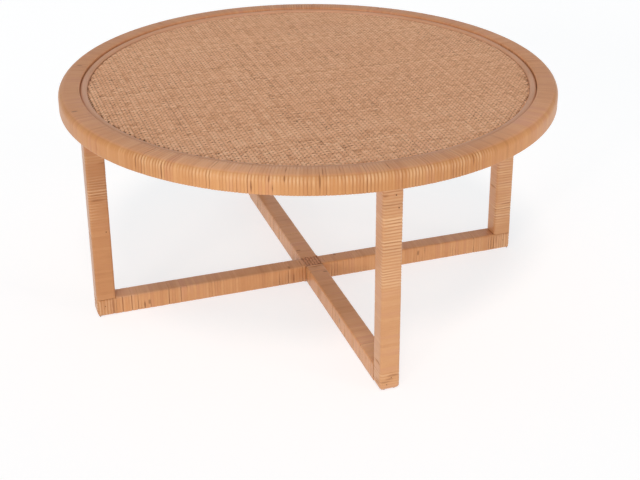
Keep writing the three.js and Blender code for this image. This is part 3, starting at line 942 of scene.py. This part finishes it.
class Finishes:
    """The table's finishes."""

    # Shares of a turn from +X towards +Y, and how light the peel wound there is painted:
    # partly its own tone, partly painted light and shade where light falls unevenly round the ring
    RING_TONE_AND_LIGHT = (
        (0.0, 0.92), (0.1, 0.86), (0.25, 0.84), (0.4, 0.86), (0.5, 0.9), (0.55, 0.96), (0.6, 1.0),
        (0.64, 1.12), (0.67, 1.1), (0.7, 0.98), (0.72, 1.0), (0.75, 0.9), (0.8, 0.9), (0.84, 1.04),
        (0.88, 1.02), (0.93, 0.92),
    )

    def __init__(self) -> None:
        """Builds every material."""
        self.ring = PeelFinish(
            "ring peel",
            spread=(0.14, 0.25, 0.35), groove_shade_share=0.55, roughness=0.4, specular=0.12,
            coat=0.15, seed=1.0, tone_and_light=self.RING_TONE_AND_LIGHT, turn_strips=492.0,
            # Painted sheen: paler and bluer on the inner side, top and start of the round
            tint=Tint((1.10, 1.13, 1.40), (0.97, 0.95, 0.93), last=0.0412),
            # A painted highlight on the crowns round the ring's upper edge, fainter elsewhere
            worn=Worn(0.35, 0.06, 0.0425, 0.0515),
        ).material()
        self.peel = self.wound("wound peel", (0.96, 1.0, 1.11))
        # The left leg and its foot get a darker copy of the same peel
        self.dark_peel = self.wound("wound peel of the left leg", (0.83, 0.80, 0.80))
        self.rail = PeelFinish(
            "wound peel of the rails",
            spread=(0.13, 0.22, 0.4), groove_shade_share=0.6, coat=0.15, seed=5.0,
            # Painted sheen: the top faces are tinted paler and bluer
            tint=Tint((0.99, 1.19, 1.7), (0.97, 0.97, 1.0), 0.035, 0.068),
            worn=Worn(0.12, 0.12),
        ).material()
        self.crossing = PeelFinish(
            "woven peel of the crossing",
            spread=(0.2, 0.22, 0.4), groove_shade_share=0.6, coat=0.1, seed=6.0,
            # Painted sheen: the crossing is tinted bluer
            tint=Tint((0.98, 1.12, 1.65)),
        ).material()
        self.weave = self.woven("woven rattan", PlainWeave.cell[0], 0.38)
        self.weave_across = self.woven("woven rattan across", PlainWeave.cell[1], 0.24)
        self.rod = PeelFinish(
            "rattan rod",
            dark=linear(188, 132, 96), tan=linear(206, 152, 116),
            pale=linear(218, 168, 134), blush=linear(202, 146, 118),
            spread=(0.2, 0.35, 0.7), roughness=0.34, seed=4.0,
        ).material()
        self.nail = PatchyFinish("nail heads", linear(122, 74, 44), linear(74, 40, 22)).material()
        others = {
            "frame_wood": WoodFinish("frame wood", linear(226, 192, 146), linear(196, 152, 102)),
            # The plywood's top under the mat is painted dark, as the shade seen through the weave's gaps
            "plywood": WoodFinish(
                "plywood", linear(222, 186, 138), linear(190, 146, 98), (9.0, 60.0, 60.0), shade_above=0.4126
            ),
            "hardwood": WoodFinish("hardwood", linear(190, 142, 92), linear(148, 100, 60)),
            "steel": PatchyFinish("steel", linear(150, 132, 108), linear(84, 60, 42)),
            "nylon": PatchyFinish(
                "nylon", linear(226, 220, 204), linear(226, 220, 204, 0.82), (700.0, 2.0), (0.3, 0.8),
                share=0.5, rougher=0.2, relief=0.00003, metallic=0.0,
            ),
        }
        self.by_slot = {slot: finish.material() for slot, finish in others.items()} | {
            "rattan_peel": self.peel,
            "ring_peel": self.ring,
            "woven_rattan": self.weave,
            "rattan_rod": self.rod,
        }

    def leg(self, side: Side) -> Material:
        """The finish of the leg and foot on one side."""
        return self.dark_peel if side is Side.LEFT else self.peel

    @staticmethod
    def wound(name: str, tint: Triple) -> Material:
        """The finish of a leg and its foot, with the peel's tone.

        Args:
            name: the material's name.
            tint: what the peel's colour is multiplied by.

        Returns:
            The finish.
        """
        return PeelFinish(
            name, spread=(0.1, 0.2, 0.4), groove_shade_share=0.3, coat=0.15, seed=2.0,
            tint=Tint(tint), worn=Worn(0.3, 0.3),
        ).material()

    @staticmethod
    def woven(name: str, cell: float, by_strip: float, light: float = 1.02) -> Material:
        """The finish of the mat's strands in one direction.

        Args:
            name: the material's name.
            cell: metres from one crossing to the next.
            by_strip: how much the strands differ in tone.
            light: how light they are.

        Returns:
            The finish.
        """
        return PeelFinish(
            name,
            dark=linear(208, 147, 104, light), tan=linear(235, 177, 135, light),
            pale=linear(246, 197, 156, light), blush=linear(232, 168, 136, light),
            seam=linear(114, 56, 22),
            spread=(by_strip, 0.1, 0.1), hue_spread=0.35, cell=cell, seed=1000 * cell,
            groove_shade_share=0.68, mark_share=0.002, roughness=0.5, specular=0.4,
            worn=Worn(0.35, 0.35),
        ).material()


# Pieces


def settle(piece: bpy.types.Object, slot: str, *nodes: str) -> None:
    """Puts a finished piece on the table.

    Args:
        piece: the piece, at its place in the frame.
        slot: the record's material slot; not used.
        nodes: the frame's nodes that the piece stands for.
    """
    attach(piece, "root")
    if nodes:
        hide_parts(*nodes)
    LOG.info("%s: %d faces", piece.name, len(piece.data.polygons))


@dataclass(frozen=True)
class CalmArcs:
    """Stretches of the ring where its strips lie nearly flat.

    Each has its middle and its half width in degrees from +X towards +Y, and how flat it is.
    """

    arcs: tuple[Triple, ...] = (
        (184.0, 24.0, 0.85), (318.0, 23.0, 0.85),
        (40.0, 20.0, 0.5), (118.0, 24.0, 0.6),
    )
    fade: float = 7.0

    def __call__(self, angle: Array, share: Array) -> Array:
        """How much flatter the strips lie.

        Args:
            angle: radians from +X towards +Y.
            share: share of the way round the section, which makes no difference here.

        Returns:
            0 where they keep their full relief, and 1 where they are flat.
        """
        calm = np.zeros_like(angle)
        for middle, half, strength in self.arcs:
            away = apart(np.degrees(angle), middle, 360)
            calm = np.maximum(calm, strength * (1 - np.clip((away - half) / self.fade, 0, 1)))
        return calm


@dataclass
class TabletopRing:
    """The wrapped ring round the tabletop, with its strips radial on top."""

    # The gaps between strips that show, with their places in radians from +X towards +Y
    SLITS = (
        Slit(3.296, 0.056, 0.009, 0.54), Slit(3.522, 0.062, 0.011, 0.78), Slit(3.527, 0.022, 0.012, 0.54),
        Slit(3.598, 0.025, 0.014, 0.54), Slit(3.641, 0.050, 0.008, 0.42), Slit(3.735, 0.058, 0.014, 0.72),
        Slit(3.853, 0.060, 0.016, 0.84), Slit(4.199, 0.062, 0.010, 0.84), Slit(4.260, 0.048, 0.007, 0.66),
        Slit(4.273, 0.064, 0.008, 0.6), Slit(4.311, 0.046, 0.007, 0.66), Slit(4.311, 0.020, 0.011, 0.72),
        Slit(4.345, 0.016, 0.008, 0.78), Slit(4.426, 0.050, 0.016, 0.96), Slit(4.440, 0.028, 0.018, 0.66),
        Slit(4.505, 0.020, 0.011, 0.54), Slit(4.683, 0.024, 0.016, 0.78), Slit(5.004, 0.052, 0.014, 0.8),
    )

    # From where on a face counts as the ring's flat top, by how far its normal points up
    TOP_FROM = 0.75

    finishes: Finishes
    radius: float = 0.450
    inner_radius: float = 0.412
    ledge_radius: float = 0.3786
    top: float = 0.420
    bottom: float = 0.386
    seat: float = 0.4098
    panel_bottom: float = 0.4034
    upper_round: float = 0.012
    lower_round: float = 0.0035
    inner_round: float = 0.0016
    top_relief: float = 0.8
    winding: PeelWinding = PeelWinding(
        strip=0.00575, groove=0.0010, tightness=(0.68, 0.2), uneven_seams=0.5, open_share=0.07,
        slits=SLITS, calm=CalmArcs(),
    )

    def outline(self) -> Outline:
        """The wrap's section as height and radius, outer side first and then its inner side.

        The strips are pulled flatter on top than round the outer edge.

        Returns:
            The whole section.
        """
        t = self.winding.thickness
        middle, level = self.radius - self.upper_round, self.top - self.upper_round
        inner, turns = self.upper_round - t, np.radians([0, 30, 60, 90])
        shown = [
            (self.seat, self.inner_radius, 0.0),
            (self.top, self.inner_radius, self.inner_round),
            (self.top, self.radius, self.upper_round),
            (self.bottom, self.radius, self.lower_round),
            (self.bottom, self.ledge_radius, self.inner_round),
            (self.panel_bottom, self.ledge_radius, 0.0),
        ]
        hidden = [
            (self.panel_bottom, self.ledge_radius + t, 0.0),
            (self.bottom + t, self.ledge_radius + t, 0.0),
            (self.bottom + t, self.radius - t, 0.0),
            *((level + inner * math.sin(turn), middle + inner * math.cos(turn), 0.0) for turn in turns),
            (self.top - t, self.inner_radius + t, 0.0),
            (self.seat, self.inner_radius + t, 0.0),
        ]
        outline = Outline.rounded(shown + hidden, hidden=len(hidden), spacing=0.016)
        flat = np.clip((outline.normals[:, 0] - self.TOP_FROM) / (1 - self.TOP_FROM), 0, 1)
        outline.face = outline.face * (1 - (1 - self.top_relief) * flat)
        return outline

    def build(self) -> None:
        """Builds and dresses the ring."""
        ring = self.winding.ring(self.outline(), self.radius, np.random.default_rng(11))
        settle(ring.piece("wound_ring", self.finishes.ring), "ring_peel", "ring_wrap")


@dataclass
class TabletopFilling:
    """The woven mat and the half-round rod that holds its edge."""

    finishes: Finishes
    mat_top: float = 0.415
    mat_radius: float = 0.4045
    fold_radius: float = 0.3945
    fold_width: float = 0.0045
    fold_drop: float = 0.0028
    rod_radius: float = 0.4052
    rod_half: float = 0.00637
    rod_seat: float = 0.4123
    rod_rise: float = 0.0055
    rod_flatness: float = 0.8
    rod_stray: float = 0.0002
    rod_swell: tuple[float, float] = (0.97, 0.05)
    rod_share: tuple[float, float] = (0.1, 0.9)
    rod_length: float = 2.5
    rod_stations: int = 480
    rod_steps: int = 12
    weave: PlainWeave = PlainWeave()

    def fold(self, x: Array, y: Array) -> Array:
        """How far the mat has gone down under the rod, from 0 to 1, with a smooth start and end."""
        share = np.clip((np.hypot(x, y) - self.fold_radius) / self.fold_width, 0, 1)
        return share**2 * (3 - 2 * share)

    def level(self, x: Array, y: Array) -> Array:
        """The mat's middle height: flat, then down under the rod."""
        flat = self.mat_top - self.weave.rise - self.weave.thickness / 2
        return flat - self.fold_drop * self.fold(x, y)

    def rod(self, rng: Random) -> Surface:
        """The rod round the mat.

        Formula: the section is half an ellipse on a flat seat, carried round Z, and its radius
        strays softly by a fraction of a millimetre.

        Args:
            rng: source of random numbers.

        Returns:
            The closed rod.
        """
        stations = self.rod_stations
        swing = np.linspace(0, math.pi, self.rod_steps + 1)
        across = self.rod_half * np.concatenate([-np.cos(swing), [1 / 3, -1 / 3]])
        height = self.rod_rise * np.concatenate([np.sin(swing) ** self.rod_flatness, [0.0, 0.0]])
        angle = np.arange(stations)[:, None] * FULL_TURN / stations
        radius = self.rod_radius + self.rod_stray * soft_field(rng, stations, 1, 40, 0) + across
        least, more = self.rod_swell
        level = self.rod_seat + height * (least + more * soft_field(rng, stations, 1, 30, 0))
        points = np.stack([radius * np.cos(angle), radius * np.sin(angle), level], -1)
        share = np.linspace(*self.rod_share, len(across) + 1)
        metres = np.linspace(0, self.rod_length, stations + 1)
        surface = Surface.closed_grid(points, share, metres, np.zeros_like(radius))
        surface.peel = surface.peel[..., ::-1]
        return surface

    def build(self) -> None:
        """Builds and dresses the mat's strands, in four pieces, and the rod."""
        rng = np.random.default_rng(23)
        inside = lambda x, y: np.hypot(x, y) < self.mat_radius
        for name, crosswise, span in (
            ("along_front", False, (-1.0, 0.0)),
            ("along_back", False, (0.0, 1.0)),
            ("across_left", True, (-1.0, 0.0)),
            ("across_right", True, (0.0, 1.0)),
        ):
            finish = self.finishes.weave_across if crosswise else self.finishes.weave
            # The fold under the rod also gets painted shade on the strands
            sheet = self.weave.strands(self.mat_radius, self.level, inside, crosswise, rng, self.fold, span)
            settle(sheet.piece(f"mat_strands_{name}", finish, 80.0), "woven_rattan", "woven_mat")
        settle(self.rod(rng).piece("mat_rod", self.finishes.rod), "rattan_rod", "mat_spline")


@dataclass(frozen=True)
class CalmLeg:
    """Where a leg's strips lie nearly flat: below a level, and on its face towards -X."""

    side: Side
    level: float
    strength: float = 0.85
    fade: float = 0.03
    face_strength: float = 0.7
    face_reach: float = 0.11
    face_fade: float = 0.02

    def __call__(self, height: Array, share: Array) -> Array:
        """How much flatter the strips lie.

        Args:
            height: metres above the floor.
            share: share of the way round the leg, starting at its outer face.

        Returns:
            0 where they keep their full relief, and 1 where they are flat.
        """
        below = 1 - np.clip((height - self.level) / self.fade + 0.5, 0, 1)
        away = apart(share, (2 - self.side.value + 0.5) / 4, 1)
        on_face = 1 - np.clip((away - self.face_reach) / self.face_fade, 0, 1)
        return np.maximum(self.strength * below, self.face_strength * on_face)


@dataclass
class Wrap:
    """Peel wound round a squared bar on one side of the table, built on +X."""

    finishes: Finishes
    side: Side
    centre: float = 0.402
    bottom: float = 0.0006
    top: float = 0.0352

    # How far a piece that runs on under another stands back from it
    BACK = 0.0002

    def upright(self, height: Array, a: Array, b: Array) -> Array:
        """Puts a section that is carried up at its place."""
        return np.stack([self.centre + a, b, height], -1)

    def lengthwise(self, reach: Array, a: Array, b: Array) -> Array:
        """Puts a section that is carried outwards at its place."""
        return np.stack([reach, a, (self.top + self.bottom) / 2 + b], -1)

    def place(self, part: str, surface: Surface, material: Material) -> None:
        """Turns the wrap of a part to its side and puts it on the table."""
        made = surface.turned(self.side.value).piece(f"{part}_peel_{self.side.label}", material)
        settle(made, "rattan_peel", f"{part}_wrap_{self.side.label}")


@dataclass
class WoundLeg(Wrap):
    """One leg's wrap: a square sleeve whose strips lie level."""

    width: float = 0.0350
    corner: float = 0.0040
    bottom: float = 0.0351
    top: float = 0.3858

    # Height above which the strips stand out, how much they do, and the gaps that show, by side
    STRIPS = {
        Side.FRONT: (
            0.195,
            (0.72, 0.25),
            (Slit(0.0505, 0.122, 0.014, 1.6), Slit(0.379, 0.116, 0.006, 1.5), Slit(0.362, 0.005, 0.005, 1.5)),
        ),
        Side.RIGHT: (0.06, (0.62, 0.3), (Slit(0.139, 0.087, 0.014, 1.5), Slit(0.104, 0.122, 0.006, 0.6))),
        Side.BACK: (0.12, (0.6, 0.3), (Slit(0.31, 0.02, 0.012, 0.7),)),
        Side.LEFT: (
            0.18,
            (0.3, 0.3),
            (
                Slit(0.305, 0.064, 0.008, 1.1),
                Slit(0.236, 0.051, 0.013, 1.4),
                Slit(0.228, 0.054, 0.011, 0.4),
                Slit(0.248, 0.050, 0.012, 0.4),
            ),
        ),
    }

    def build(self) -> None:
        """Builds and dresses the leg's wrap, whose strips stand out more on its upper part."""
        level, tightness, slits = self.STRIPS[self.side]
        calm = CalmLeg(self.side, level)
        winding = PeelWinding(
            groove=0.0010, tightness=tightness, uneven_seams=0.5, wander=0.0006, open_share=0.03,
            slits=slits, calm=calm,
        )
        rng = np.random.default_rng(100 + self.side.value)
        outline = Outline.bar(self.width, self.width, self.corner)
        sleeve = winding.sleeve(outline, self.bottom, self.top, self.upright, rng)
        self.place("leg", sleeve, self.finishes.leg(self.side))


@dataclass
class WoundFoot(Wrap):
    """The wrap below one leg, folded over the rail's end.

    The front and back feet are wound level like the legs above them. On the left and right feet
    the rail's own winding runs on to the end, where level strips are folded round it.
    """

    width: float = 0.0358
    corner: float = 0.0050
    top: float = 0.0350
    toe: float = 0.0085
    lap: float = 0.0055
    winding: PeelWinding = PeelWinding(
        tightness=(0.5, 0.3), uneven_seams=1.2, wander=0.0007, open_share=0.3,
        slits=(
            Slit(0.0290, 0.026, 0.011, 1.6), Slit(0.0235, 0.020, 0.009, 1.5), Slit(0.0175, 0.009, 0.015, 1.1),
            Slit(0.0110, 0.125, 0.012), Slit(0.0240, 0.080, 0.014),
        ),
    )

    def toe_inset(self, level: Array) -> Array:
        """How far the foot draws in near the floor: a quarter circle of the toe's radius."""
        below = np.clip(self.bottom + self.toe - level, 0, self.toe)
        return self.toe - np.sqrt(self.toe**2 - below**2)

    def level_winding(self, outline: Outline, rng: Random) -> Surface:
        """Level strips round the foot, or round its end."""
        return self.winding.sleeve(outline, self.bottom, self.top, self.upright, rng, self.toe_inset)

    def rail_winding(self, rng: Random) -> Surface:
        """The rail's winding as far as the end.

        Args:
            rng: source of random numbers.

        Returns:
            The closed sleeve.
        """
        outline = Outline.bar(self.width, self.top - self.bottom, self.corner)
        start, end = self.centre - self.width / 2, self.centre + self.width / 2 - self.lap / 2
        return self.winding.sleeve(outline, start + self.BACK, end, self.lengthwise, rng)

    def end_outline(self) -> Outline:
        """The section of the strips folded round the rail's end, with a plain side inside the rail.

        Returns:
            The outline, with the leg's middle at zero.
        """
        face, half = self.width / 2, self.width / 2 - self.BACK
        shown = [(face, -half, self.corner), (face, half, self.corner)]
        hidden = [(face - self.lap, half, 0.0), (face - self.lap, -half, 0.0)]
        return Outline.rounded(shown + hidden, hidden=len(hidden))

    def build(self) -> None:
        """Builds and dresses the foot's wrap."""
        rng = np.random.default_rng(200 + self.side.value)
        if self.side in (Side.FRONT, Side.BACK):
            foot = self.level_winding(Outline.bar(self.width, self.width, self.corner), rng)
        else:
            foot = Surface.joined([self.rail_winding(rng), self.level_winding(self.end_outline(), rng)])
        self.place("foot", foot, self.finishes.leg(self.side))


@dataclass
class WoundRail(Wrap):
    """One arm of the crossing rails, from the crossing to its leg."""

    width: float = 0.0346
    corner: float = 0.0036
    top_relief: float = 0.5
    start: float = 0.0174
    end: float = 0.3840
    winding: PeelWinding = PeelWinding(
        strip=0.0058,
        tightness=(0.5, 0.25),
        uneven_seams=1.5,
        slits=(Slit(0.0238, 0.0520, 0.015), Slit(0.030, 0.0520, 0.011, 0.7), Slit(0.041, 0.0140, 0.014)),
    )

    def build(self) -> None:
        """Builds and dresses the arm's wrap, whose strips are flatter on top."""
        rng = np.random.default_rng(300 + self.side.value)
        outline = Outline.bar(self.width, self.top - self.bottom, self.corner)
        outline.face = np.where(outline.normals[:, 1] > TabletopRing.TOP_FROM, self.top_relief, outline.face)
        sleeve = self.winding.sleeve(outline, self.start, self.end, self.lengthwise, rng)
        self.place("rail", sleeve, self.finishes.rail)


@dataclass
class CrossingWeave:
    """The small woven patches over and under the place where the rails cross."""

    finishes: Finishes
    half: float = 0.0173
    top: float = 0.0352
    bottom: float = 0.0006
    weave: PlainWeave = PlainWeave(
        (0.0057, 0.0057), (1, 1), fill=(0.88, 0.88), edge_shade=(0.55, 0.0), thickness=0.0007, rise=0.00035
    )

    def build(self) -> None:
        """Builds and dresses both patches."""
        rng = np.random.default_rng(31)
        sink = self.weave.rise + self.weave.thickness / 2
        inside = lambda x, y: np.maximum(np.abs(x), np.abs(y)) < self.half
        for name, level in (("top", self.top - sink), ("bottom", self.bottom + sink)):
            flat = lambda x, y, z=level: np.full_like(x, z)
            sheets = [self.weave.strands(self.half, flat, inside, way, rng) for way in (False, True)]
            made = Surface.joined(sheets).piece(f"crossing_{name}", self.finishes.crossing, 80.0)
            settle(made, "rattan_peel", f"crossing_weave_{name}")


@dataclass
class NailHeads:
    """Small nails that hold the ends of the peel on a leg and its foot."""

    finishes: Finishes
    side: Side
    radius: float = 0.0012
    rise: float = 0.0006
    sunk: float = 0.0008
    around: int = 8

    # Face (0 outwards, then round towards the leg's left), place across it and height, in metres
    PLACES = {
        Side.FRONT: ((0, 0.0045, 0.363), (0, 0.0095, 0.340), (0, 0.0020, 0.0255), (0, -0.0060, 0.0125)),
        Side.RIGHT: ((3, 0.0030, 0.0200), (0, -0.0050, 0.350), (0, 0.0060, 0.0240)),
        Side.BACK: ((0, -0.0040, 0.355), (0, 0.0050, 0.0230)),
        Side.LEFT: ((1, 0.0095, 0.172), (1, -0.0030, 0.0210), (0, 0.0040, 0.352)),
    }

    def dome(self) -> Surface:
        """One head, standing on +X at the origin.

        Formula: rings of points at the radius times the cosine and the rise times the sine of a
        swing from 0 to a quarter turn, with a stem under them and a point at each end.

        Returns:
            The closed head.
        """
        swing = np.radians([0, 0, 35, 65])
        out = self.radius * np.cos(swing)
        up = np.append(-self.sunk, self.rise * np.sin(swing[1:]))
        turn = np.arange(self.around) * FULL_TURN / self.around
        rings = [np.outer(up, np.ones(self.around)), np.outer(out, np.cos(turn)), np.outer(out, np.sin(turn))]
        points = np.concatenate([np.stack(rings, -1).reshape(-1, 3), [[-self.sunk, 0, 0], [self.rise, 0, 0]]])
        spot = np.arange(self.around)
        ahead = np.roll(spot, -1)
        wall = np.stack([spot, ahead, ahead + self.around, spot + self.around], -1)
        even = spot[::2]
        three = [even, even + 1, (even + 2) % self.around]
        under = np.stack([np.full_like(even, len(points) - 2), *three[::-1]], -1)
        crown = np.stack([np.full_like(even, len(points) - 1), *[i + 3 * self.around for i in three]], -1)
        faces = np.concatenate([*(wall + row * self.around for row in range(3)), under, crown])
        return Surface(points, faces, np.zeros((len(faces), 4, 2)), np.zeros(len(points)))

    def build(self) -> None:
        """Builds and dresses the nails of one leg."""
        dome, surface, centre = self.dome(), WoundLeg.width / 2 - Wrap.BACK, WoundLeg.centre
        heads = [
            dome.moved(surface, across, 0.0).turned(face).moved(centre, 0.0, height)
            for face, across, height in self.PLACES[self.side]
        ]
        nails = Surface.joined(heads).turned(self.side.value)
        settle(nails.piece(f"nail_heads_{self.side.label}", self.finishes.nail), "steel")


@dataclass
class Stage:
    """The floor, the lights and the camera."""

    camera_place: Triple = (-0.6906, -2.1251, 1.2326)
    yaw: float = -0.36418
    pitch: float = 0.42596
    roll: float = 0.012
    focal_pixels: float = 1297.43
    centre_pixels: tuple[float, float] = (370.0, 175.0)
    frame_pixels: tuple[int, int] = (640, 480)
    sensor: float = 36.0
    floor_half: float = 40.0
    floor_colour: Triple = (0.56, 0.45, 0.39)
    floor_glow: Triple = (0.81, 0.93, 1.0)
    floor_glow_strength: float = 0.71

    # The surroundings' light above, what they add near the horizon, and what they add there behind
    SKY = (0.40, 0.06, 0.16)

    # Each lamp's name, azimuth, elevation, spread and strength
    LAMPS = (
        ("left softbox", -48.0, 12.0, 16.0, 0.85),
        ("right softbox", 44.0, 12.0, 16.0, 0.5),
        ("overhead softbox", -20.0, 60.0, 14.0, 0.75),
    )

    def camera(self) -> None:
        """Puts the camera where the photograph was taken from."""
        data = bpy.data.cameras.new("camera")
        width, height = self.frame_pixels
        data.sensor_width = self.sensor
        data.lens = self.focal_pixels / width * self.sensor
        data.shift_x = (width / 2 - self.centre_pixels[0]) / width
        data.shift_y = (self.centre_pixels[1] - height / 2) / width
        made = placed("camera", data)
        back = self.direction(self.yaw, self.pitch)
        right = (-back).cross(Vector((0, 0, 1))).normalized()
        up = right.cross(-back)
        c, s = math.cos(self.roll), math.sin(self.roll)
        axes = Matrix((right * c + up * s, up * c - right * s, back)).transposed()
        made.matrix_world = Matrix.Translation(self.camera_place) @ axes.to_4x4()
        bpy.context.scene.camera = made

    @staticmethod
    def direction(azimuth: float, elevation: float) -> Vector:
        """The way to a place, by radians from the front towards the right and above the floor."""
        flat = math.cos(elevation)
        return Vector((math.sin(azimuth) * flat, -math.cos(azimuth) * flat, math.sin(elevation)))

    def lamp(self, name: str, azimuth: float, elevation: float, spread: float, strength: float) -> None:
        """Adds a soft distant light.

        Args:
            name: the light's name.
            azimuth: degrees from the front, towards the right.
            elevation: degrees above the floor.
            spread: the angle in degrees under which the light is seen.
            strength: watts on a square metre that faces it.
        """
        data = bpy.data.lights.new(name, "SUN")
        data.angle = math.radians(spread)
        data.energy = strength
        made = placed(name, data)
        made.rotation_mode = "QUATERNION"
        back = self.direction(math.radians(azimuth), math.radians(elevation))
        made.rotation_quaternion = back.to_track_quat("Z", "Y")

    def lights(self) -> None:
        """Adds the pale surroundings and the soft lights."""
        world = bpy.data.worlds.new("surroundings")
        shades = Shades(world)
        x, y, z = shades.parts(shades.node("ShaderNodeTexCoord", {}, {}, "Generated"))
        behind = (y - 0.35 * x).ease(-0.4, 0.5)
        low = 1.0 - z.ease(0.35, 0.8)
        bright = self.SKY[0] + low * (self.SKY[1] + self.SKY[2] * behind)
        grey = shades.joined(bright, bright, bright)
        sky = shades.node("ShaderNodeBackground", {}, {"Color": grey, "Strength": 1.0})
        shades.show("ShaderNodeOutputWorld", sky)
        bpy.context.scene.world = world
        for lamp in self.LAMPS:
            self.lamp(*lamp)

    def floor(self) -> None:
        """Lays the pale floor, which keeps its own light so that shade on it stays faint."""
        mesh = bpy.data.meshes.new("floor")
        far = self.floor_half
        mesh.from_pydata([(-far, -far, 0), (far, -far, 0), (far, far, 0), (-far, far, 0)], [], [(0, 1, 2, 3)])
        made = placed("floor", mesh)
        shades = Shades.of("floor")
        fixed = {
            "Base Color": (*self.floor_colour, 1.0),
            "Roughness": 1.0,
            "Specular IOR Level": 0.0,
            "Emission Color": (*self.floor_glow, 1.0),
            "Emission Strength": self.floor_glow_strength,
        }
        mesh.materials.append(shades.finish(fixed, {}, shades.noise(shades.position(), 3.0), 0.0))

    def build(self) -> None:
        """Builds the whole stage."""
        self.camera()
        self.lights()
        self.floor()
        view = bpy.context.scene.view_settings
        view.view_transform = "Standard"
        view.look = "None"


def dress_frame(frame: dict[str, Any], finishes: Finishes) -> None:
    """Gives the frame's own solids the finish of their material slots.

    Args:
        frame: the frame as it was loaded.
        finishes: the table's finishes.
    """
    slots = {row["node"]: row["material_slot"] for row in frame["record"]["subparts"]}
    for name, solid in frame["nodes"].items():
        solid.data.materials.clear()
        solid.data.materials.append(finishes.by_slot[slots[name]])
    LOG.info("frame: %d solids dressed", len(frame["nodes"]))


def main() -> None:
    """Builds the scene around the frame."""
    logging.basicConfig(level=logging.INFO, format="%(message)s")
    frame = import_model()
    finishes = Finishes()
    dress_frame(frame, finishes)
    TabletopRing(finishes).build()
    TabletopFilling(finishes).build()
    for side in Side:
        WoundLeg(finishes, side).build()
        WoundFoot(finishes, side).build()
        WoundRail(finishes, side).build()
        NailHeads(finishes, side).build()
    CrossingWeave(finishes).build()
    Stage().build()


if __name__ == "__main__":
    main()
